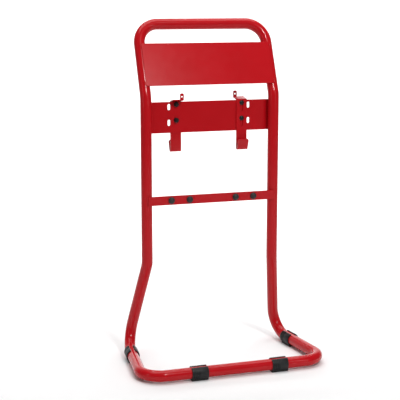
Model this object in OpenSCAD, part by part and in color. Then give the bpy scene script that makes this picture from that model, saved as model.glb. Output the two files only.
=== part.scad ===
// Double fire extinguisher stand: a bent tube loop that stands on four clip-on feet,
// with a sign panel, a slotted bracket plate, two height-adjustable hanging brackets
// and a lower bar with four rubber buffers. All sizes are in millimetres.
// X runs to the viewer's right, Y to the back, Z up; the origin is on the floor,
// under the middle of the whole stand.

/* [Tube loop] */
// Outside diameter of the tube
tube_d = 27; // [22:0.5:28]
// Wall thickness of the tube
tube_wall = 1.5; // [1.2:0.1:2.5]
// Radius of every bend, measured to the tube's centre line
bend_r = 50; // [42:1:54]
// Distance between the centre lines of the two posts
post_spacing = 325; // [300:1:360]
// Overall height of the stand
stand_h = 824; // [780:1:860]
// Height of the bend where the top section starts to lean back
knee_h = 641; // [625:1:655]
// Height of the bend where the lower legs start to run backwards
ankle_h = 236; // [200:1:260]
// How far the handle sits behind the posts
handle_setback = 73; // [60:1:85]
// How far the base reaches in front of the posts
base_front = 195; // [180:1:220]
// How far the legs' corners sit behind the posts
base_back = 71; // [60:1:80]
// Width of the base at the back, between centre lines
base_back_w = 395; // [370:1:420]
// Width of the base at the front, between centre lines
base_front_w = 456; // [430:1:480]

/* [Sign panel] */
// Height of the sign panel, measured along its slope
panel_h = 107; // [80:1:110]
// Thickness of the sign panel
panel_t = 2; // [1.5:0.1:3]
// Distance along the slope from the knee bend up to the panel's lower edge
panel_rise = 23; // [18:1:30]

/* [Bracket plate] */
// Height of the bracket plate
plate_h = 75; // [70:1:80]
// Thickness of the bracket plate
plate_t = 3; // [2:0.1:4]
// Height of the plate's top edge above the floor
plate_top = 627.5; // [620:0.5:628]
// Sideways distance from the middle to each bracket and its two bolt holes
bracket_x = 83.5; // [75:0.5:84]
// Diameter of the bolt holes
hole_d = 7; // [6.6:0.1:8]
// Distance from the plate's top edge down to the upper bolt holes
hole_drop = 6.5; // [6:0.5:9]
// Sideways distance from the middle to each pair of free slots
slot_x = 101.5; // [101:0.5:110]
// Width of a free slot
slot_w = 7; // [6.6:0.1:8]
// Length of a free slot, end to end
slot_l = 15; // [14:0.5:18]
// Distance from the plate's top edge down to the middle of the upper slots
slot_drop = 12.5; // [11:0.5:14]
// Height between the upper and the lower row of holes and slots
slot_pitch = 38; // [36:1:42]

/* [Brackets] */
// Width of a bracket's strap
strap_w = 27; // [22:1:28]
// Thickness of the bracket steel
strap_t = 2.5; // [2:0.1:3]
// Width of the slots in the strap
strap_slot_w = 8; // [7:0.1:9]
// Length of the slots in the strap, end to end
strap_slot_l = 25; // [20:1:26]
// Height of the bracket's lowest point above the floor
strap_foot = 505.5; // [500:0.5:512]
// Inside radius of the J bend at the strap's lower end
hook_r = 3; // [2.5:0.5:5]
// Angle by which the J lip leans away from the strap
hook_flare = 20; // [10:1:25]
// Length of the J lip above its bend
hook_lip = 25; // [18:1:30]
// Reach of the top ledge, from the strap to the outer face of the prong
ledge_reach = 23; // [18:1:26]
// Upward tilt of the ledge
ledge_tilt = 10; // [4:1:15]
// Width of the upright prong at the ledge's end
prong_w = 9; // [7:0.5:12]
// Height of the prong's tip above the ledge's corner
prong_h = 21; // [18:0.5:24]
// Diameter of the small hole in the prong
prong_hole_d = 4; // [3:0.5:5]

/* [Bolts] */
// Bolt diameter
bolt_d = 6; // [5:0.5:6]
// Bolt length under the head
bolt_l = 16; // [15:1:20]
// Diameter of the bolt's domed head
head_d = 12; // [10.5:0.5:14]
// Height of the bolt's domed head
head_h = 3.3; // [2.5:0.1:4]
// Outside diameter of the washers
washer_d = 12; // [11:0.5:13]
// Thickness of the washers
washer_t = 1.6; // [1:0.1:1.6]
// Width of the nuts across their flats
nut_af = 10; // [9:0.5:11]
// Height of the nuts
nut_h = 5; // [4:0.1:6]

/* [Lower bar and buffers] */
// Height of the lower bar
bar_h = 22; // [18:1:25]
// Thickness of the lower bar
bar_t = 3; // [2:0.1:4]
// Height of the bar's lower edge above the floor
bar_foot = 381.5; // [360:0.5:400]
// Sideways distance from the middle to the centre of each pair of buffers
buffer_pair_x = 82; // [75:0.5:90]
// Sideways distance from that centre to each of its two buffers
buffer_offset = 23; // [18:0.5:26]
// Diameter of a buffer's head
buffer_d = 16; // [12:0.5:18]
// Height of a buffer's head
buffer_h = 7.5; // [5:0.5:9]
// Diameter of the buffer's neck in the bar's hole
buffer_neck_d = 8; // [6:0.5:8]

/* [Feet] */
// Length of a foot along the tube
foot_l = 40; // [38:1:46]
// Wall thickness of the foot's clip
foot_wall = 3; // [2.5:0.1:3.5]
// Thickness of the sole under the tube
foot_sole = 3.5; // [3:0.1:5]
// Angle that each arm of the clip reaches up past the tube's middle
foot_wrap = 65; // [30:1:70]
// Sideways distance from the middle to the left front foot
left_foot_x = 93.5; // [80:0.5:115]
// Sideways distance from the middle to the right front foot
right_foot_x = 105.5; // [80:0.5:115]

/* [Hidden] */
$fn = 64;

eps = 0.01;              // overshoot of cutting tools
seam = 0.02;             // gap between neighbouring lengths of tube, which stay separate solids
tube_r = tube_d / 2;
base_z = tube_r + foot_sole;
// Places the middle of the stand's depth at Y = 0.
post_y = (base_front - handle_setback + foot_wall) / 2;
paint_gap = 0.2;         // clearance between a bracket and what clamps it
ledge_gap = 0.3;         // clearance between a bracket's ledge and the plate's top edge
red = "#b81c24";
black = "#1c1c1e";
steel_black = "#26272a";

// ---- Sharp corners of the tube loop's centre line, left front round to right front ----

function mirror_x(p) = [-p.x, p.y, p.z];
RIGHT_SIDE = [
    [post_spacing / 2, post_y + handle_setback, stand_h - tube_r],
    [post_spacing / 2, post_y, knee_h],
    [post_spacing / 2, post_y, ankle_h],
    [base_back_w / 2, post_y + base_back, base_z],
    [base_front_w / 2, post_y - base_front, base_z]
];
LOOP = [
    for (i = [4:-1:0]) mirror_x(RIGHT_SIDE[i]),
    for (i = [0:4]) RIGHT_SIDE[i]
];
// Where each named corner stands in LOOP.
FRONT_L = 0;
HEEL_L = 1;
ANKLE_L = 2;
KNEE_L = 3;
TOP_L = 4;
TOP_R = 5;
KNEE_R = 6;
ANKLE_R = 7;
HEEL_R = 8;
FRONT_R = 9;

function corner(i) = LOOP[(i + len(LOOP)) % len(LOOP)];
function unit(v) = v / norm(v);
function dir_in(i) = unit(corner(i) - corner(i - 1));
function dir_out(i) = unit(corner(i + 1) - corner(i));
function turn(i) = acos(dir_in(i) * dir_out(i));
function tangent_len(i) = bend_r * tan(turn(i) / 2);
function bend_start(i) = corner(i) - dir_in(i) * tangent_len(i);
function bend_end(i) = corner(i) + dir_out(i) * tangent_len(i);
function across(v) = unit(cross(abs(v.z) < 0.9 ? [0, 0, 1] : [1, 0, 0], v));

// Puts children at point o with their X along x and their Z along z.
module place(o, x, z) {
    y = cross(z, x);
    multmatrix([
        [x.x, y.x, z.x, o.x],
        [x.y, y.y, z.y, o.y],
        [x.z, y.z, z.z, o.z],
        [0, 0, 0, 1]
    ]) children();
}

module tube_ring() {
    difference() {
        circle(tube_r);
        circle(tube_r - tube_wall);
    }
}

// Straight tube between the bend at corner i and the bend at the next corner.
module run(i) {
    place(bend_end(i) + dir_out(i) * seam, across(dir_out(i)), dir_out(i))
        linear_extrude(norm(bend_start(i + 1) - bend_end(i)) - 2 * seam) tube_ring();
}

// Bent tube round corner i.
module elbow(i) {
    axis = unit(cross(dir_in(i), dir_out(i)));
    inward = cross(axis, dir_in(i));
    place(bend_start(i) + inward * bend_r, -inward, axis)
        rotate_extrude(angle = turn(i)) translate([bend_r, 0]) tube_ring();
}

module handle_tube() {
    color(red) {
        run(KNEE_L);
        elbow(TOP_L);
        run(TOP_L);
        elbow(TOP_R);
        run(TOP_R);
    }
}

module left_post_tube() {
    color(red) {
        run(HEEL_L);
        elbow(ANKLE_L);
        run(ANKLE_L);
        elbow(KNEE_L);
    }
}

module right_post_tube() {
    color(red) {
        elbow(KNEE_R);
        run(KNEE_R);
        elbow(ANKLE_R);
        run(ANKLE_R);
    }
}

module left_base_rail() {
    color(red) {
        run(FRONT_L);
        elbow(HEEL_L);
    }
}

module right_base_rail() {
    color(red) {
        elbow(HEEL_R);
        run(HEEL_R);
    }
}

module front_base_bar() {
    color(red) {
        elbow(FRONT_L);
        run(FRONT_R);
        elbow(FRONT_R);
    }
}

// ---- Sheet parts and welds ----

lean = atan(handle_setback / (stand_h - tube_r - knee_h));

// Frame of the leaning top section: Z runs up the slope, -Y points out of the front.
module on_slope() {
    translate([0, post_y, knee_h]) rotate([-lean, 0, 0]) children();
}

module mirrored_pair() {
    children();
    mirror([1, 0, 0]) children();
}

module sheet_on_posts(height, thickness) {
    translate([-post_spacing / 2, -tube_r - thickness, 0]) cube([post_spacing, thickness, height]);
}

// Fillet weld along a sheet's end, where it lies on the front of the right post.
bead_r = 2.2;
bead_l = 12;
module edge_bead(from_z, length, sheet_t) {
    difference() {
        translate([post_spacing / 2 + 0.7 * bead_r, -tube_r, from_z]) {
            translate([0, 0, bead_r]) cylinder(r = bead_r, h = length - 2 * bead_r);
            translate([0, 0, bead_r]) sphere(bead_r);
            translate([0, 0, length - bead_r]) sphere(bead_r);
        }
        translate([post_spacing / 2, 0, from_z - bead_r]) cylinder(r = tube_r, h = length + 2 * bead_r);
        translate([0, -tube_r - sheet_t, from_z - bead_r])
            cube([post_spacing / 2, sheet_t + bead_r, length + 2 * bead_r]);
    }
}

module header_panel() {
    color(red) on_slope() translate([0, 0, panel_rise]) sheet_on_posts(panel_h, panel_t);
}

module header_welds() {
    color(red) on_slope() mirrored_pair() {
        edge_bead(panel_rise + 1, bead_l, panel_t);
        edge_bead(panel_rise + panel_h - bead_l - 1, bead_l, panel_t);
    }
}

module lower_bar() {
    color(red) difference() {
        translate([0, post_y, bar_foot]) sheet_on_posts(bar_h, bar_t);
        for (x = BUFFER_X)
            translate([x, post_y - tube_r + eps, bar_foot + bar_h / 2]) rotate([90, 0, 0])
                cylinder(d = buffer_neck_d + 2 * neck_gap, h = bar_t + 2 * eps);
    }
}

module lower_bar_welds() {
    color(red) mirrored_pair() translate([0, post_y, bar_foot]) edge_bead(2, bar_h - 4, bar_t);
}

// A rounded slot through a sheet that faces the front, centred on the origin.
module slot_cutter(width, length, depth) {
    for (z = [-1, 1])
        translate([0, depth / 2, z * (length - width) / 2]) rotate([90, 0, 0])
            cylinder(d = width, h = depth);
    translate([-width / 2, -depth / 2, -(length - width) / 2]) cube([width, depth, length - width]);
}

// The plate lies on the back of the posts; plate_y is its middle plane.
plate_y = post_y + tube_r + plate_t / 2;
BOLT_Z = [for (row = [0, 1]) plate_top - hole_drop - row * slot_pitch];
SLOT_Z = [for (row = [0, 1]) plate_top - slot_drop - row * slot_pitch];

module bracket_plate() {
    color(red) difference() {
        translate([0, post_y, plate_top - plate_h]) mirror([0, 1, 0]) sheet_on_posts(plate_h, plate_t);
        for (side = [-1, 1]) {
            for (z = BOLT_Z)
                translate([side * bracket_x, plate_y + plate_t / 2 + eps, z]) rotate([90, 0, 0])
                    cylinder(d = hole_d, h = plate_t + 2 * eps);
            for (z = SLOT_Z)
                translate([side * slot_x, plate_y, z])
                    slot_cutter(slot_w, slot_l, plate_t + 2 * eps);
        }
    }
}

module plate_welds() {
    color(red) translate([0, post_y, plate_top - plate_h]) mirror([0, 1, 0]) mirrored_pair() {
        edge_bead(1, bead_l, plate_t);
        edge_bead(plate_h - bead_l - 1, bead_l, plate_t);
    }
}

// ---- Hanging brackets ----
// The right bracket's strap is in front of the plate. The left one is the same part,
// turned round by half a turn, so its strap is behind the plate. The bolts are at the
// upper end of the strap's slots, so a bracket can slide up.

strap_inner_y = -plate_t / 2 - paint_gap;
strap_outer_y = strap_inner_y - strap_t;
ledge_foot = plate_top + ledge_gap;
hook_outer_r = hook_r + strap_t;
lip_corner_r = 5;
prong_corner_r = 3;

module half_turn() {
    translate([0, plate_y, 0]) rotate([0, 0, 180]) translate([0, -plate_y, 0]) children();
}

// Part of a ring between two angles, no more than 180 degrees apart.
module arc_band(inner_r, outer_r, from, to) {
    intersection() {
        difference() {
            circle(outer_r);
            circle(inner_r);
        }
        polygon([
            [0, 0],
            for (a = [from : (to - from) / 4 : to]) 2 * outer_r * [cos(a), sin(a)]
        ]);
    }
}

// Side outline of the bracket's strap and J hook: X is the distance in front of the
// strap's inner face, Y is the height.
hook_z = strap_foot + hook_outer_r;
inset = 0.02;            // step where a flat starts out of a bend
overlap = 0.3;           // depth by which that flat starts inside the bend
module hook_outline() {
    translate([0, hook_z]) square([strap_t, ledge_foot - hook_z]);
    translate([hook_outer_r, hook_z]) {
        arc_band(hook_r, hook_outer_r, 180, 360 - hook_flare);
        rotate(-hook_flare) translate([hook_r + inset, -overlap])
            square([strap_t - 2 * inset, hook_lip + overlap]);
    }
}

// Side outline of the ledge that runs back from the strap's top, cut off upright at the
// prong's outer face.
module ledge_outline() {
    length = (ledge_reach + strap_t) / cos(ledge_tilt);
    translate([0, ledge_foot]) difference() {
        union() {
            arc_band(0, strap_t, 0, 90 - ledge_tilt);
            rotate(-ledge_tilt) translate([-length, -inset])
                square([length + overlap / 2, strap_t]);
        }
        translate([-ledge_reach - 2 * strap_t, 0]) square([2 * strap_t, 2 * ledge_reach]);
    }
}

// Side outline of the upright prong at the ledge's end. It starts inside the ledge.
prong_foot = ledge_foot + ledge_reach * tan(ledge_tilt) + strap_t / 2;
prong_top = ledge_foot + prong_h;
module prong_outline() {
    translate([-ledge_reach, prong_foot]) square([strap_t, prong_top - prong_foot]);
}

// Extrudes a side outline across the bracket, from x0 over the width w.
module across_bracket(x0, w) {
    translate([x0, plate_y + strap_inner_y, 0]) rotate([90, 0, 90]) mirror([1, 0, 0])
        linear_extrude(w) children();
}

// Cuts the upper corners of an upright tab round. The tab stands on the X axis, is w
// wide, h high and no thicker than 2 * reach.
module round_tab_corners(w, h, r, reach) {
    for (side = [-1, 1])
        translate([side * (w / 2 - r + inset), reach, h - r + inset]) rotate([90, 0, 0]) difference() {
            translate([side > 0 ? 0 : -2 * r, 0, 0]) cube([2 * r, 2 * r, 2 * reach]);
            translate([0, 0, -eps]) cylinder(r = r, h = 2 * reach + 2 * eps);
        }
}

module bracket() {
    x0 = bracket_x - strap_w / 2;
    strap_mid_y = plate_y + strap_inner_y - strap_t / 2;
    prong_mid_y = plate_y + strap_inner_y + ledge_reach - strap_t / 2;
    difference() {
        union() {
            across_bracket(x0, strap_w) hook_outline();
            across_bracket(x0, strap_w) ledge_outline();
            across_bracket(x0, prong_w) prong_outline();
        }
        for (z = BOLT_Z)
            translate([bracket_x, strap_mid_y, z - (strap_slot_l - strap_slot_w) / 2])
                slot_cutter(strap_slot_w, strap_slot_l, strap_t + 2 * eps);
        translate([bracket_x, plate_y + strap_inner_y - hook_outer_r, hook_z])
            rotate([hook_flare, 0, 0]) translate([0, -hook_r - strap_t / 2, 0])
                round_tab_corners(strap_w, hook_lip, lip_corner_r, strap_t);
        translate([x0 + prong_w / 2, prong_mid_y, 0])
            round_tab_corners(prong_w, prong_top, prong_corner_r, strap_t);
        translate([x0 + prong_w / 2, prong_mid_y + strap_t, prong_top - 2 * prong_hole_d])
            rotate([90, 0, 0]) cylinder(d = prong_hole_d, h = 2 * strap_t);
    }
}

module right_bracket() {
    color(red) bracket();
}

module left_bracket() {
    color(red) half_turn() bracket();
}

// Bolt with a domed head and a hexagon socket, standing in front of the plate.
socket_af = 4;
module bolts() {
    for (z = BOLT_Z)
        translate([bracket_x, plate_y + strap_outer_y - paint_gap, z]) rotate([-90, 0, 0]) {
            cylinder(d = bolt_d, h = bolt_l);
            difference() {
                rotate([180, 0, 0]) rotate_extrude() dome(head_d / 2, head_h);
                translate([0, 0, -head_h - eps])
                    cylinder(d = socket_af / cos(30), h = head_h * 0.6, $fn = 6);
            }
        }
}

// Half outline of a dome of the given radius and height, standing on Y = 0.
module dome(radius, height) {
    rim = 0.2 * height;
    sphere_r = (radius * radius + (height - rim) * (height - rim)) / (2 * (height - rim));
    intersection() {
        square([radius, height]);
        translate([0, height - sphere_r]) circle(sphere_r, $fn = 180);
    }
}

module left_bolts() {
    color(steel_black) half_turn() bolts();
}

module right_bolts() {
    color(steel_black) bolts();
}

module washers() {
    for (z = BOLT_Z)
        translate([bracket_x, plate_y + plate_t / 2, z]) rotate([-90, 0, 0]) difference() {
            cylinder(d = washer_d, h = washer_t);
            translate([0, 0, -eps]) cylinder(d = bolt_d + 0.4, h = washer_t + 2 * eps);
        }
}

module left_washers() {
    color(steel_black) half_turn() washers();
}

module right_washers() {
    color(steel_black) washers();
}

module nuts() {
    for (z = BOLT_Z)
        translate([bracket_x, plate_y + plate_t / 2 + washer_t, z]) rotate([-90, 0, 0]) difference() {
            cylinder(d = nut_af / cos(30), h = nut_h, $fn = 6);
            translate([0, 0, -eps]) cylinder(d = bolt_d + 0.1, h = nut_h + 2 * eps);
        }
}

module left_nuts() {
    color(steel_black) half_turn() nuts();
}

module right_nuts() {
    color(steel_black) nuts();
}

// ---- Rubber buffers ----

BUFFER_X = [
    -buffer_pair_x - buffer_offset, -buffer_pair_x + buffer_offset,
    buffer_pair_x - buffer_offset, buffer_pair_x + buffer_offset
];
neck_gap = 0.05;

// Push-in buffer: a domed head, a neck through the bar and a tapered lip behind it.
module buffer(x) {
    lip_r = buffer_neck_d / 2 + 1.5;
    tail_r = buffer_neck_d / 2 - 1;
    lip_h = 1.5;
    tail_h = 5;
    color(black) translate([x, post_y - tube_r, bar_foot + bar_h / 2]) rotate([90, 0, 0])
        rotate_extrude() {
            translate([0, bar_t]) dome(buffer_d / 2, buffer_h);
            translate([0, -lip_h]) square([buffer_neck_d / 2, lip_h + bar_t + buffer_h / 2]);
            polygon([
                [0, -lip_h - tail_h], [tail_r, -lip_h - tail_h], [lip_r, -lip_h], [lip_r, 0], [0, 0]
            ]);
        }
}

module buffer_left_outer() {
    buffer(BUFFER_X[0]);
}

module buffer_left_inner() {
    buffer(BUFFER_X[1]);
}

module buffer_right_inner() {
    buffer(BUFFER_X[2]);
}

module buffer_right_outer() {
    buffer(BUFFER_X[3]);
}

// ---- Feet ----

clip_gap = 0.05;
rib_count = 4;
rib_pitch = 4.4;
rib_depth = 1.2;
end_land = 2.5;          // plain stretch before the first groove

// Cross-section of the foot with the tube's centre at the origin and the floor at
// Y = -base_z: a clip that holds the tube, and a flat sole under it.
sole_w = 22;
module foot_section(outer_r) {
    difference() {
        union() {
            circle(outer_r);
            translate([-sole_w / 2, -base_z]) square([sole_w, base_z]);
        }
        circle(tube_r + clip_gap);
        polygon([
            [0, 0],
            [2 * outer_r * cos(foot_wrap), 2 * outer_r * sin(foot_wrap)],
            [-2 * outer_r * cos(foot_wrap), 2 * outer_r * sin(foot_wrap)]
        ]);
    }
}

// A foot along the X axis, centred on the tube's centre line. The gripping ribs are on
// its -X half.
module foot() {
    outer_r = tube_r + foot_wall;
    groove_w = rib_pitch / 2;
    first_groove = -foot_l / 2 + end_land;
    color(black) rotate([90, 0, 90]) difference() {
        translate([0, 0, -foot_l / 2]) linear_extrude(foot_l) foot_section(outer_r);
        for (i = [0:rib_count - 1])
            translate([0, 0, first_groove + i * rib_pitch]) linear_extrude(groove_w) difference() {
                circle(2 * outer_r);
                circle(outer_r - rib_depth);
                translate([-outer_r, -2 * outer_r]) square([2 * outer_r, 2 * outer_r - tube_r * 0.6]);
            }
    }
}

// Rail feet sit just in front of the heel bends.
module rear_foot_right() {
    place(
        bend_end(HEEL_R) + dir_out(HEEL_R) * foot_l / 2,
        dir_out(HEEL_R),
        [0, 0, 1]
    ) foot();
}

module foot_front_left() {
    translate([-left_foot_x, post_y - base_front, base_z]) foot();
}

module foot_front_right() {
    translate([right_foot_x, post_y - base_front, base_z]) foot();
}

module foot_rear_left() {
    mirror([1, 0, 0]) rear_foot_right();
}

module foot_rear_right() {
    rear_foot_right();
}

handle_tube();
left_post_tube();
right_post_tube();
left_base_rail();
right_base_rail();
front_base_bar();
header_panel();
header_welds();
bracket_plate();
plate_welds();
lower_bar();
lower_bar_welds();
left_bracket();
right_bracket();
left_bolts();
right_bolts();
left_washers();
right_washers();
left_nuts();
right_nuts();
buffer_left_outer();
buffer_left_inner();
buffer_right_inner();
buffer_right_outer();
foot_front_left();
foot_front_right();
foot_rear_left();
foot_rear_right();
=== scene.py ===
"""Looks of the double fire extinguisher stand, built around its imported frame.

Every size is in metres, in the frame's own axes: X to the right, Y to the back, Z up.
"""
import math

import bmesh
import bpy
from mathutils import Matrix, Vector


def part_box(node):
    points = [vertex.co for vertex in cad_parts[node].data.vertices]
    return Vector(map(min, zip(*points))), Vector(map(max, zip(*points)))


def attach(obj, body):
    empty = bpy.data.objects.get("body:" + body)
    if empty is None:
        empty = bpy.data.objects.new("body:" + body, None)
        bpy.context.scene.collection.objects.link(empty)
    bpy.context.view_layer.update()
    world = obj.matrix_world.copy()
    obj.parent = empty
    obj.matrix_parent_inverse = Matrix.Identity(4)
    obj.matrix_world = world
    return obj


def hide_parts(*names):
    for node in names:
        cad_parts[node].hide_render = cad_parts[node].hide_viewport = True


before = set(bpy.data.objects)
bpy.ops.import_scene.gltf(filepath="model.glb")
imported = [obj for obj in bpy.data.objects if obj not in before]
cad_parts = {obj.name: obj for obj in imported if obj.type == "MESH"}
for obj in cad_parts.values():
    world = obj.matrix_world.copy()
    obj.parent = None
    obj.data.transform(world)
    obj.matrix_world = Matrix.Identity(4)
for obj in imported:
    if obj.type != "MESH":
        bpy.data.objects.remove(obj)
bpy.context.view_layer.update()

MM = 0.001

# ---- Driving dimensions, as in the CAD source ----
BEND_R = 50 * MM             # centre-line radius of every bend
KNEE_H = 641 * MM            # where the top section starts to lean back
ANKLE_H = 236 * MM           # where the legs start to run backwards
FRONT_SPREAD = 456 * MM      # width of the base at the front, between centre lines
HEEL_SPREAD = 395 * MM       # width of the base at the back, between centre lines
HEEL_BACK = 71 * MM          # how far the heels sit behind the posts
PANEL_RISE = 23 * MM         # from the knee to the panel, along the slope
PANEL_H = 107 * MM           # along the slope
BRACKET_X = 83.5 * MM        # middle of each bracket
SLOT_PITCH = 38 * MM         # between upper and lower bolts
BOLT_D = 6 * MM
BOLT_L = 16 * MM
THREAD_PITCH = 1 * MM
HEAD_D = 12 * MM
HEAD_H = 3.3 * MM
SOCKET_AF = 4 * MM
WASHER_T = 1.6 * MM
NUT_AF = 10 * MM
NUT_H = 5 * MM
BUFFER_H = 7.5 * MM
NECK_R = 4 * MM
FOOT_L = 40 * MM
FOOT_WALL = 3 * MM
FOOT_WRAP = 65               # degrees that a foot's arms reach above the tube's middle

# ---- Dimensions read from the frame ----
bar_low, bar_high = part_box("front_base_bar")
handle_low, handle_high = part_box("handle_tube")
buffer_bar_low, buffer_bar_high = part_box("lower_bar")
plate_low, plate_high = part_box("bracket_plate")
TUBE_R = (bar_high.z - bar_low.z) / 2
BASE_Z = (bar_high.z + bar_low.z) / 2
FRONT_Y = bar_low.y + TUBE_R
POST_X = handle_high.x - TUBE_R
POST_Y = buffer_bar_high.y + TUBE_R
TOP_Z = handle_high.z - TUBE_R
TOP_Y = handle_high.y - TUBE_R
PLATE_T = plate_high.y - plate_low.y
PLATE_Y = (plate_high.y + plate_low.y) / 2
LEAN = math.atan2(TOP_Y - POST_Y, TOP_Z - KNEE_H)

# Origin between the knees, Z up the leaning top section, Y out of its back
SLOPE = Matrix.Translation((0, POST_Y, KNEE_H)) @ Matrix.Rotation(-LEAN, 4, "X")


# ---- Mesh helpers ----

def add_piece(name, mesh, material, slot, *replaced, body="frame", smooth_angle=35):
    piece = bpy.data.objects.new(name, mesh)
    bpy.context.scene.collection.objects.link(piece)
    mesh.materials.clear()
    mesh.materials.append(material)
    mesh.shade_smooth()
    mesh.set_sharp_from_angle(angle=math.radians(smooth_angle))
    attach(piece, body)
    if replaced:
        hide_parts(*replaced)
    return piece


def to_mesh(bm, name):
    bmesh.ops.recalc_face_normals(bm, faces=bm.faces)
    mesh = bpy.data.meshes.new(name)
    bm.to_mesh(mesh)
    bm.free()
    return mesh


def bridge(bm, lower, upper):
    """Quads between two closed rings of the same length."""
    count = len(lower)
    for i in range(count):
        j = (i + 1) % count
        bm.faces.new((lower[i], lower[j], upper[j], upper[i]))


def ring(bm, matrix, radius_at, z_at, sides):
    """A closed ring of vertices about the matrix's Z axis."""
    verts = []
    for i in range(sides):
        a = 2 * math.pi * i / sides
        r = radius_at(a)
        verts.append(bm.verts.new(matrix @ Vector((r * math.cos(a), r * math.sin(a), z_at(a)))))
    return verts


def lathe(bm, matrix, profile, sides=64):
    """Turns a profile of (radius, height) points about the matrix's Z axis. Ends at radius
    0 close to a point."""
    previous = None
    for radius, height in profile:
        if radius == 0:
            current = [bm.verts.new(matrix @ Vector((0, 0, height)))]
        else:
            current = ring(bm, matrix, lambda a: radius, lambda a: height, sides)
        if previous:
            if len(previous) == 1:
                cap(bm, current, previous[0])
            elif len(current) == 1:
                cap(bm, previous, current[0])
            else:
                bridge(bm, previous, current)
        previous = current


def cap(bm, verts, tip):
    """Triangles from a ring to a point."""
    for i, v in enumerate(verts):
        bm.faces.new((v, verts[(i + 1) % len(verts)], tip))


def arc(centre, radius, start, end, steps):
    """Points (x, y) on an arc, angles in degrees."""
    points = []
    for i in range(steps + 1):
        a = math.radians(start + (end - start) * i / steps)
        points.append((centre[0] + radius * math.cos(a), centre[1] + radius * math.sin(a)))
    return points


def softened_copy(node, name, width, material, slot, body="frame"):
    """A copy of a CAD node whose edges are rounded, as powder coat leaves them."""
    bm = bmesh.new()
    bm.from_mesh(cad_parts[node].data)
    bmesh.ops.remove_doubles(bm, verts=bm.verts, dist=0.002 * MM)
    bmesh.ops.dissolve_limit(bm, angle_limit=math.radians(1), verts=bm.verts, edges=bm.edges)
    piece = add_piece(name, to_mesh(bm, name), material, slot, node, body=body)
    bevel = piece.modifiers.new("rounded_edges", "BEVEL")
    bevel.width = width
    bevel.segments = 3
    bevel.limit_method = "ANGLE"
    bevel.angle_limit = math.radians(35)
    bevel.harden_normals = True
    return piece


# ---- Material helpers ----

def material_with(name):
    """A new material, its node tree and its Principled shader."""
    material = bpy.data.materials.new(name)
    material.use_nodes = True
    tree = material.node_tree
    return material, tree, tree.nodes["Principled BSDF"]


def noise(tree, scale, detail):
    """Noise in the object's own metres; scale is in cells per metre."""
    place = tree.nodes.new("ShaderNodeTexCoord")
    texture = tree.nodes.new("ShaderNodeTexNoise")
    texture.inputs["Scale"].default_value = scale
    texture.inputs["Detail"].default_value = detail
    tree.links.new(place.outputs["Object"], texture.inputs["Vector"])
    return texture.outputs["Fac"]


def ramp(tree, factor, stops):
    """A colour ramp from (position, rgb) stops."""
    node = tree.nodes.new("ShaderNodeValToRGB")
    elements = node.color_ramp.elements
    while len(elements) < len(stops):
        elements.new(0.5)
    for element, (position, rgb) in zip(elements, stops):
        element.position = position
        element.color = (*rgb, 1)
    tree.links.new(factor, node.inputs["Fac"])
    return node.outputs["Color"]


def spread(tree, factor, low, high):
    """Maps the middle of a noise, 0.3 to 0.7, to a range from low to high."""
    node = tree.nodes.new("ShaderNodeMapRange")
    node.inputs["From Min"].default_value = 0.3
    node.inputs["From Max"].default_value = 0.7
    node.inputs["To Min"].default_value = low
    node.inputs["To Max"].default_value = high
    tree.links.new(factor, node.inputs["Value"])
    return node.outputs["Result"]


def bump(tree, shader, height, depth, strength, below=None):
    """Adds a bump of that depth in metres, over an earlier one if there is one below."""
    node = tree.nodes.new("ShaderNodeBump")
    node.inputs["Strength"].default_value = strength
    node.inputs["Distance"].default_value = depth
    tree.links.new(height, node.inputs["Height"])
    if below:
        tree.links.new(below, node.inputs["Normal"])
    tree.links.new(node.outputs["Normal"], shader.inputs["Normal"])
    return node.outputs["Normal"]


# ---- Materials ----

def red_powder_coat():
    """Glossy red powder coat with a fine orange peel."""
    material, tree, shader = material_with("red_powder_coat")
    tone = ramp(tree, noise(tree, 9, 3), [(0.3, (0.46, 0.004, 0.008)), (0.7, (0.49, 0.005, 0.010))])
    tree.links.new(tone, shader.inputs["Base Color"])
    tree.links.new(spread(tree, noise(tree, 60, 3), 0.19, 0.23), shader.inputs["Roughness"])
    shader.inputs["Specular IOR Level"].default_value = 0.12
    shader.inputs["Coat Weight"].default_value = 0.25
    shader.inputs["Coat Roughness"].default_value = 0.05
    peel = bump(tree, shader, noise(tree, 420, 1), 0.05 * MM, 0.35)
    bump(tree, shader, noise(tree, 1500, 1), 0.012 * MM, 0.3, below=peel)
    return material


def black_zinc():
    """Black zinc plate on steel, satin, with slightly browner patches."""
    material, tree, shader = material_with("black_zinc")
    tone = ramp(tree, noise(tree, 300, 3), [(0.35, (0.012, 0.012, 0.013)), (0.7, (0.03, 0.027, 0.026))])
    tree.links.new(tone, shader.inputs["Base Color"])
    tree.links.new(spread(tree, noise(tree, 900, 2), 0.28, 0.42), shader.inputs["Roughness"])
    shader.inputs["Metallic"].default_value = 0.6
    bump(tree, shader, noise(tree, 2500, 2), 0.01 * MM, 0.3)
    return material


def buffer_rubber():
    """Matt black rubber, a little dusty."""
    material, tree, shader = material_with("black_rubber")
    tone = ramp(tree, noise(tree, 400, 4), [(0.35, (0.010, 0.010, 0.010)), (0.75, (0.024, 0.023, 0.022))])
    tree.links.new(tone, shader.inputs["Base Color"])
    tree.links.new(spread(tree, noise(tree, 700, 2), 0.5, 0.68), shader.inputs["Roughness"])
    bump(tree, shader, noise(tree, 3000, 2), 0.02 * MM, 0.35)
    return material


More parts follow.
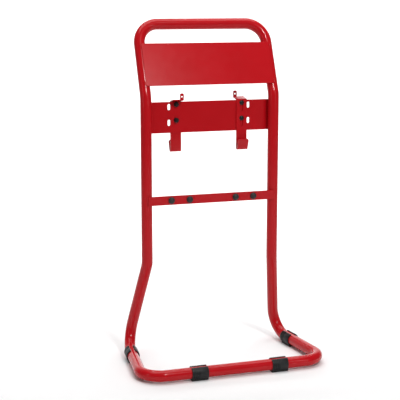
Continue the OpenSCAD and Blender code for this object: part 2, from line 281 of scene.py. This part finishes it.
def foot_plastic():
    """Moulded black plastic with a spark-eroded grain."""
    material, tree, shader = material_with("black_plastic")
    tone = ramp(tree, noise(tree, 120, 3), [(0.35, (0.006, 0.006, 0.0065)), (0.7, (0.011, 0.011, 0.0115))])
    tree.links.new(tone, shader.inputs["Base Color"])
    tree.links.new(spread(tree, noise(tree, 500, 2), 0.38, 0.52), shader.inputs["Roughness"])
    shader.inputs["Specular IOR Level"].default_value = 0.35
    bump(tree, shader, noise(tree, 2200, 2), 0.02 * MM, 0.4)
    return material


def pale_floor():
    """Matt, nearly white studio floor."""
    material, tree, shader = material_with("pale_floor")
    tone = ramp(tree, noise(tree, 0.8, 2), [(0.3, (0.86, 0.86, 0.86)), (0.7, (0.88, 0.88, 0.88))])
    tree.links.new(tone, shader.inputs["Base Color"])
    shader.inputs["Roughness"].default_value = 0.7
    return material


RED = red_powder_coat()
STEEL = black_zinc()
RUBBER = buffer_rubber()
PLASTIC = foot_plastic()


# ---- The tube loop ----

def loop_corners():
    """Sharp corners of the centre line, right front round to left front."""
    right = [
        Vector((FRONT_SPREAD / 2, FRONT_Y, BASE_Z)),
        Vector((HEEL_SPREAD / 2, POST_Y + HEEL_BACK, BASE_Z)),
        Vector((POST_X, POST_Y, ANKLE_H)),
        Vector((POST_X, POST_Y, KNEE_H)),
        Vector((POST_X, TOP_Y, TOP_Z)),
    ]
    left = [Vector((-p.x, p.y, p.z)) for p in reversed(right)]
    return right + left


def rounded_loop(corners, radius, degrees_per_step=3):
    """Points along a closed line whose corners are arcs."""
    points = []
    for i, corner in enumerate(corners):
        before = (corner - corners[i - 1]).normalized()
        after = (corners[(i + 1) % len(corners)] - corner).normalized()
        turn = before.angle(after)
        axis = before.cross(after).normalized()
        inward = axis.cross(before)
        start = corner - before * radius * math.tan(turn / 2)
        centre = start + inward * radius
        steps = math.ceil(math.degrees(turn) / degrees_per_step)
        for k in range(steps + 1):
            points.append(centre - Matrix.Rotation(turn * k / steps, 3, axis) @ inward * radius)
    return points


def closed_sweep(bm, points, radius, sides):
    """A round tube along a closed line. The frames turn as little as they can, and what
    is left over at the end is spread along the whole line."""
    count = len(points)
    tangents = [(points[(i + 1) % count] - points[i - 1]).normalized() for i in range(count)]
    normals = [tangents[0].orthogonal().normalized()]
    for i in range(1, count + 1):
        swing = tangents[i - 1].rotation_difference(tangents[i % count])
        normals.append(swing @ normals[-1])
    start, end, axis = normals[0], normals[-1], tangents[0]
    twist = math.atan2(axis.dot(end.cross(start)), end.dot(start))
    rings = []
    for i in range(count):
        normal = Matrix.Rotation(twist * i / count, 3, tangents[i]) @ normals[i]
        side = tangents[i].cross(normal)
        rings.append([
            bm.verts.new(points[i] + radius * (math.cos(a) * normal + math.sin(a) * side))
            for a in (2 * math.pi * k / sides for k in range(sides))
        ])
    for i in range(count):
        bridge(bm, rings[i], rings[(i + 1) % count])


def tube_loop():
    """The one bent tube that handle, posts, legs and base are made of."""
    bm = bmesh.new()
    closed_sweep(bm, rounded_loop(loop_corners(), BEND_R), TUBE_R, 80)
    add_piece(
        "tube_loop", to_mesh(bm, "tube_loop"), RED, "red_paint",
        "handle_tube", "left_post_tube", "right_post_tube",
        "left_base_rail", "right_base_rail", "front_base_bar",
    )


# ---- Welds ----

def weld_bead(bm, start, end, radius, pitch=1.1 * MM, sides=20):
    """A rippled bead between two points, tapering at both ends."""
    rows_per_ripple = 6
    ripple_depth = 0.10
    tip_share = 0.05
    along = end - start
    length = along.length
    axis = along.normalized()
    normal = axis.orthogonal().normalized()
    side = axis.cross(normal)
    count = max(2, round(length / pitch)) * rows_per_ripple
    previous = None
    for i in range(count + 1):
        t = i / count
        taper = math.sqrt(max(0.0, 1 - (2 * t - 1) ** 8))
        ripple = 1 - ripple_depth * (t * length / pitch % 1) ** 2
        r = radius * max(taper * ripple, tip_share)
        centre = start + along * t
        current = [
            bm.verts.new(centre + r * (math.cos(a) * normal + math.sin(a) * side))
            for a in (2 * math.pi * k / sides for k in range(sides))
        ]
        if previous:
            bridge(bm, previous, current)
        else:
            cap(bm, current, bm.verts.new(start))
        previous = current
    cap(bm, previous, bm.verts.new(end))


def sheet_end_welds(name, node, matrix, spans, radius=2 * MM):
    """Beads at both ends of a sheet that lies on the posts, at the matrix's -Y side."""
    bm = bmesh.new()
    off_centre = 0.6 * radius
    for side in (-1, 1):
        for low, high in spans:
            x = side * (POST_X + off_centre)
            weld_bead(
                bm,
                matrix @ Vector((x, -TUBE_R, low)),
                matrix @ Vector((x, -TUBE_R, high)),
                radius,
            )
    add_piece(name, to_mesh(bm, name), RED, "red_paint", node, smooth_angle=60)


def header_welds(bead=12 * MM, edge=1 * MM):
    """Beads at the sign panel's four corners."""
    top = PANEL_RISE + PANEL_H
    spans = [(PANEL_RISE + edge, PANEL_RISE + edge + bead), (top - edge - bead, top - edge)]
    sheet_end_welds("header_weld_beads", "header_welds", SLOPE, spans)


def lower_bar_welds(edge=2 * MM):
    """A bead at each end of the buffer bar."""
    spans = [(buffer_bar_low.z + edge, buffer_bar_high.z - edge)]
    sheet_end_welds(
        "lower_bar_weld_beads", "lower_bar_welds", Matrix.Translation((0, POST_Y, 0)), spans
    )


def plate_welds(bead=12 * MM, edge=1 * MM):
    """Beads at the slotted plate's four corners, on the back of the posts."""
    height = plate_high.z - plate_low.z
    spans = [(edge, edge + bead), (height - edge - bead, height - edge)]
    behind = Matrix.Translation((0, POST_Y, plate_low.z)) @ Matrix.Rotation(math.pi, 4, "Z")
    sheet_end_welds("plate_weld_beads", "plate_welds", behind, spans)


# ---- Sheet parts ----

def sheet_parts():
    """Panel, plate, bar and both brackets, as in the CAD but with rounded edges."""
    for node, name, edge in (
        ("header_panel", "sign_panel", 0.7 * MM),
        ("bracket_plate", "slotted_plate", 0.5 * MM),
        ("lower_bar", "buffer_bar", 0.6 * MM),
    ):
        softened_copy(node, name, edge, RED, "red_paint")
    for side in ("left", "right"):
        body = f"{side}_bracket"
        softened_copy(body, f"{side}_hook_bracket", 0.5 * MM, RED, "red_paint", body=body)


# ---- Fasteners ----
# Each bracket's fasteners point the other way: the right ones' heads are in front.

def fastener_frames(side):
    """For each bolt: a matrix whose origin is on the plate's middle plane, at the bolt's
    axis, and whose Z axis points from the bolt's head to its nut."""
    facing = 1 if side == "right" else -1
    low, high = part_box(f"{side}_bolts")
    top = high.z - HEAD_D / 2
    for z in (top, top - SLOT_PITCH):
        spot = Matrix.Translation((facing * BRACKET_X, PLATE_Y, z))
        yield spot @ Matrix.Rotation(math.radians(-90 * facing), 4, "X")


def hexagon(across_flats):
    """Radius of a hexagon's outline as a function of the angle."""
    sector = math.pi / 3
    return lambda a: across_flats / 2 / math.cos((a + sector / 2) % sector - sector / 2)


def dome_height(radius, rim_r, height, rim):
    """Height of a dome over its rim at that radius."""
    rise = height - rim
    sphere_r = (rim_r ** 2 + rise ** 2) / (2 * rise)
    return height - sphere_r + math.sqrt(sphere_r ** 2 - radius ** 2)


def bolt_head(bm, matrix, sides=72):
    """Domed head standing on Z = 0 towards -Z, with a hexagon socket."""
    head_r = HEAD_D / 2
    rim = 0.2 * HEAD_H
    edge = 0.25 * MM
    socket = hexagon(SOCKET_AF)
    socket_z = 0.4 * HEAD_H
    drill_tip = 0.4 * MM
    lip = 0.2 * MM
    dome_end = 0.55 * head_r
    dome_steps = 8
    up = matrix @ Matrix.Scale(-1, 4, (0, 0, 1))
    rings = [
        ring(bm, up, lambda a: BOLT_D / 2, lambda a: 0, sides),
        ring(bm, up, lambda a: head_r - edge, lambda a: 0, sides),
        ring(bm, up, lambda a: head_r, lambda a: edge, sides),
        ring(bm, up, lambda a: head_r, lambda a: rim, sides),
    ]
    for step in range(1, dome_steps + 1):
        r = head_r - (head_r - dome_end) * step / dome_steps
        z = dome_height(r, head_r, HEAD_H, rim)
        rings.append(ring(bm, up, lambda a: r, lambda a: z, sides))
    rings.append(ring(
        bm, up, lambda a: socket(a) + lip,
        lambda a: dome_height(socket(a) + lip, head_r, HEAD_H, rim), sides,
    ))
    rings.append(ring(
        bm, up, socket,
        lambda a: dome_height(socket(a), head_r, HEAD_H, rim) - lip, sides,
    ))
    rings.append(ring(bm, up, socket, lambda a: socket_z, sides))
    for lower, upper in zip(rings, rings[1:]):
        bridge(bm, lower, upper)
    cap(bm, rings[-1], bm.verts.new(up @ Vector((0, 0, socket_z - drill_tip))))


def bolt_shank(bm, matrix, plain, sides=48, rows_per_turn=8):
    """Shank from Z = 0 to the bolt's end: plain first, then a cut thread."""
    r = BOLT_D / 2
    depth = 0.55 * THREAD_PITCH
    flank = 1.15
    root = 0.5 * MM
    rings = [
        ring(bm, matrix, lambda a: r, lambda a: 0, sides),
        ring(bm, matrix, lambda a: r, lambda a: plain, sides),
    ]
    rows = round((BOLT_L - plain) / THREAD_PITCH * rows_per_turn)
    for row in range(1, rows + 1):
        z = plain + (BOLT_L - plain) * row / rows
        fade = min(1, row / rows_per_turn)
        end_cone = max(0, z - (BOLT_L - depth))

        def radius_at(a):
            phase = (z / THREAD_PITCH - a / (2 * math.pi)) % 1
            groove = max(0, 1 - abs(2 * phase - 1) * flank)
            return r - max(fade * depth * groove, end_cone)

        rings.append(ring(bm, matrix, radius_at, lambda a: z, sides))
    for lower, upper in zip(rings, rings[1:]):
        bridge(bm, lower, upper)
    cap(bm, rings[-1], bm.verts.new(matrix @ Vector((0, 0, BOLT_L))))
    cap(bm, rings[0], bm.verts.new(matrix @ Vector((0, 0, -root))))


def chamfered_nut(bm, matrix, sides=72):
    """Hexagon nut from Z = 0, with turned chamfers and a countersunk bore."""
    outline = hexagon(NUT_AF)
    chamfer_r = 0.97 * NUT_AF / 2
    chamfer_slope = math.tan(math.radians(30))
    bore_r = BOLT_D / 2 + 0.05 * MM
    sink = 0.5 * MM

    def drop(a):
        return (outline(a) - chamfer_r) * chamfer_slope

    rings = [
        ring(bm, matrix, lambda a: bore_r, lambda a: sink, sides),
        ring(bm, matrix, lambda a: bore_r + sink, lambda a: 0, sides),
        ring(bm, matrix, lambda a: chamfer_r, lambda a: 0, sides),
        ring(bm, matrix, outline, drop, sides),
        ring(bm, matrix, outline, lambda a: NUT_H - drop(a), sides),
        ring(bm, matrix, lambda a: chamfer_r, lambda a: NUT_H, sides),
        ring(bm, matrix, lambda a: bore_r + sink, lambda a: NUT_H, sides),
        ring(bm, matrix, lambda a: bore_r, lambda a: NUT_H - sink, sides),
    ]
    for lower, upper in zip(rings, rings[1:] + rings[:1]):
        bridge(bm, lower, upper)


def washer(bm, matrix, outer_r, sides=72):
    """Punched washer from Z = 0: rounded on one face, sharp on the other."""
    hole_r = BOLT_D / 2 + 0.2 * MM
    edge = 0.35 * MM
    profile = [(hole_r, 0), (outer_r, 0)]
    profile += arc((outer_r - edge, WASHER_T - edge), edge, 0, 90, 4)
    profile += arc((hole_r + edge, WASHER_T - edge), edge, 90, 180, 4)
    profile.append(profile[0])
    lathe(bm, matrix, profile, sides)
    bmesh.ops.remove_doubles(bm, verts=bm.verts, dist=0.001 * MM)


def fasteners(side):
    """Bolts, washers and nuts of one bracket. The bolts' box ends at the rim of the sockets,
    a little below the tops of the CAD's domes, so the heads sit that much deeper here."""
    bolts, washers, nuts = bmesh.new(), bmesh.new(), bmesh.new()
    low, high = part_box(f"{side}_bolts")
    washer_low, washer_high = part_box(f"{side}_washers")
    under_head = abs((low.y if side == "right" else high.y) - PLATE_Y) - HEAD_H
    for matrix in fastener_frames(side):
        head = matrix @ Matrix.Translation((0, 0, -under_head))
        bolt_head(bolts, head)
        bolt_shank(bolts, head, plain=5 * MM)
        behind = matrix @ Matrix.Translation((0, 0, PLATE_T / 2))
        washer(washers, behind, (washer_high.x - washer_low.x) / 2)
        chamfered_nut(nuts, behind @ Matrix.Translation((0, 0, WASHER_T)))
    for bm, kind in ((bolts, "bolts"), (washers, "washers"), (nuts, "nuts")):
        name = f"{side}_{kind}_detailed"
        add_piece(name, to_mesh(bm, name), STEEL, "black_steel", f"{side}_{kind}", smooth_angle=28)


# ---- Rubber buffers ----

def buffer(node):
    """Domed rubber buffer pushed through the bar, with its barb behind."""
    low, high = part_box(node)
    head_r = (high.x - low.x) / 2
    bar_t = buffer_bar_high.y - buffer_bar_low.y
    spot = Vector(((low.x + high.x) / 2, buffer_bar_low.y, (low.z + high.z) / 2))
    matrix = Matrix.Translation(spot) @ Matrix.Rotation(math.radians(90), 4, "X")
    rim = 0.35 * BUFFER_H
    edge = 1.6 * MM
    chamfer = 0.5 * MM
    tip_r = NECK_R - 1 * MM
    barb_r = NECK_R + 1.5 * MM
    tip_z = -bar_t - 6.5 * MM
    barb_z = -bar_t - 1.5 * MM
    dome_steps = 8
    profile = [(0, tip_z), (tip_r, tip_z), (barb_r, barb_z), (barb_r, -bar_t)]
    profile += [(NECK_R, -bar_t), (NECK_R, 0), (head_r - chamfer, 0), (head_r, chamfer)]
    profile.append((head_r, rim))
    profile += arc((head_r - edge, rim), edge, 15, 55, 4)
    start_r, start_z = profile[-1]
    for step in range(1, dome_steps):
        t = step / dome_steps
        rise = (BUFFER_H - start_z) * math.sin(t * math.pi / 2)
        profile.append((start_r * (1 - t), start_z + rise))
    profile.append((0, BUFFER_H))
    bm = bmesh.new()
    lathe(bm, matrix, profile, 56)
    name = f"{node}_moulded"
    add_piece(name, to_mesh(bm, name), RUBBER, "buffer_rubber", node, smooth_angle=40)


def buffers():
    """Two pairs of buffers on the bar."""
    for place in ("left_outer", "left_inner", "right_inner", "right_outer"):
        buffer(f"buffer_{place}")


# ---- Feet ----

def foot_outline(groove, shrink):
    """Cross-section of a foot, tube centre at the origin: a closed list of (x, y). groove
    is how deep the gripping grooves are cut here, shrink how far the end is rounded off."""
    outer = TUBE_R + FOOT_WALL - groove - shrink
    inner = TUBE_R
    sole_x = 11 * MM - shrink
    sole_y = -BASE_Z
    corner = 1.2 * MM
    sole_angle = -math.degrees(math.acos(min(1, sole_x / outer)))
    tip = (outer + inner) / 2
    tip_r = (outer - inner) / 2
    tip_spot = (tip * math.cos(math.radians(FOOT_WRAP)), tip * math.sin(math.radians(FOOT_WRAP)))
    half = arc(tip_spot, tip_r, FOOT_WRAP + 180, FOOT_WRAP, 6)[1:]
    half += arc((0, 0), outer, FOOT_WRAP, sole_angle, 22)[1:]
    half += arc((sole_x - corner, sole_y + corner), corner, 0, -90, 4)
    left = [(-x, y) for x, y in reversed(half)]
    inside = arc((0, 0), inner, 180 - FOOT_WRAP, 360 + FOOT_WRAP, 48)
    return half + left + inside


def foot_stations(ribs=4, pitch=4.4 * MM, land=2.5 * MM, depth=1.2 * MM):
    """(place along the foot, groove depth, end shrink): the grooves are on one half."""
    round_off = 0.7 * MM
    slope = 0.3 * MM
    half = FOOT_L / 2
    stations = [(-half, 0, round_off), (-half + 0.35 * round_off, 0, 0.3 * round_off)]
    stations.append((-half + round_off, 0, 0))
    for i in range(ribs):
        start = -half + land + i * pitch
        stations.append((start, 0, 0))
        stations.append((start + slope, depth, 0))
        stations.append((start + pitch / 2 - slope, depth, 0))
        stations.append((start + pitch / 2, 0, 0))
    stations.append((half - round_off, 0, 0))
    stations.append((half - 0.35 * round_off, 0, 0.3 * round_off))
    stations.append((half, 0, round_off))
    return stations


def foot(name, node, matrix):
    """A foot along the matrix's X axis."""
    bm = bmesh.new()
    rows = []
    for along, groove, shrink in foot_stations():
        rows.append([
            bm.verts.new(matrix @ Vector((along, x, y)))
            for x, y in foot_outline(groove, shrink)
        ])
    for lower, upper in zip(rows, rows[1:]):
        bridge(bm, lower, upper)
    for end in (rows[0], rows[-1]):
        bm.faces.new(end)
    bmesh.ops.remove_doubles(bm, verts=bm.verts, dist=0.001 * MM)
    add_piece(name, to_mesh(bm, name), PLASTIC, "foot_plastic", node, smooth_angle=30)


def feet():
    """Two feet on the front bar and one on each rail."""
    for side, name in ((-1, "left"), (1, "right")):
        low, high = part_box(f"foot_front_{name}")
        spot = Matrix.Translation(((low.x + high.x) / 2, FRONT_Y, BASE_Z))
        foot(f"foot_front_{name}_moulded", f"foot_front_{name}", spot)
        low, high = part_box(f"foot_rear_{name}")
        middle = Matrix.Translation(((low.x + high.x) / 2, (low.y + high.y) / 2, BASE_Z))
        rail = Vector((side * (FRONT_SPREAD - HEEL_SPREAD) / 2, FRONT_Y - POST_Y - HEEL_BACK))
        turn = Matrix.Rotation(math.atan2(rail.y, rail.x), 4, "Z")
        foot(f"foot_rear_{name}_moulded", f"foot_rear_{name}", middle @ turn)


# ---- Stage ----

def floor(half_width=7, front=-7, back=3.4, sweep_r=1.0, top=4.5):
    """A pale floor that sweeps up into a backdrop."""
    line = [(front, 0)] + arc((back - sweep_r, sweep_r), sweep_r, -90, 0, 24) + [(back, top)]
    bm = bmesh.new()
    sides = [[bm.verts.new((x, y, z)) for y, z in line] for x in (-half_width, half_width)]
    for i in range(len(line) - 1):
        bm.faces.new((sides[0][i], sides[1][i], sides[1][i + 1], sides[0][i + 1]))
    mesh = bpy.data.meshes.new("floor")
    bm.to_mesh(mesh)
    bm.free()
    mesh.materials.append(pale_floor())
    mesh.shade_smooth()
    plane = bpy.data.objects.new("floor", mesh)
    bpy.context.scene.collection.objects.link(plane)


def camera(tilt_down=10.45, turn_right=18.07):
    """A long lens to the left of the stand; angles in degrees from facing straight back."""
    data = bpy.data.cameras.new("camera")
    data.lens = 98.98
    data.sensor_width = 36
    spot = bpy.data.objects.new("camera", data)
    spot.location = (-0.8487, -2.4547, 0.8747)
    spot.rotation_euler = (math.radians(90 - tilt_down), 0, math.radians(-turn_right))
    bpy.context.scene.collection.objects.link(spot)
    bpy.context.scene.camera = spot


def softbox(name, spot, target, size, power):
    """A white rectangular light at one place, turned to another; power in watts."""
    data = bpy.data.lights.new(name, "AREA")
    data.shape = "RECTANGLE"
    data.size, data.size_y = size
    data.energy = power
    light = bpy.data.objects.new(name, data)
    light.location = spot
    light.rotation_euler = (Vector(target) - Vector(spot)).to_track_quat("-Z", "Y").to_euler()
    bpy.context.scene.collection.objects.link(light)


def studio():
    """Soft lights, a faint white world and plain colour handling."""
    softbox("key", (0.3, -2.35, 2.5), (0, 0, 0.5), (0.5, 0.5), 43)
    softbox("overhead", (0.0, 0.1, 2.7), (0, 0, 0), (2.6, 1.4), 38)
    softbox("right_strip", (1.5, -2.6, 1.2), (0, 0, 0.6), (0.25, 1.7), 6)
    softbox("left_strip", (-2.8, -0.9, 1.2), (0, 0, 0.5), (0.3, 1.7), 5)
    softbox("backdrop_light", (0.6, 1.3, 2.6), (0.8, 3.4, 0.8), (3.0, 0.8), 110)
    world = bpy.data.worlds.new("studio")
    world.use_nodes = True
    background = world.node_tree.nodes["Background"]
    background.inputs["Color"].default_value = (1, 1, 1, 1)
    background.inputs["Strength"].default_value = 0.15
    bpy.context.scene.world = world
    bpy.context.scene.view_settings.view_transform = "Standard"


tube_loop()
header_welds()
plate_welds()
lower_bar_welds()
sheet_parts()
for bracket_side in ("left", "right"):
    fasteners(bracket_side)
buffers()
feet()
floor()
camera()
studio()
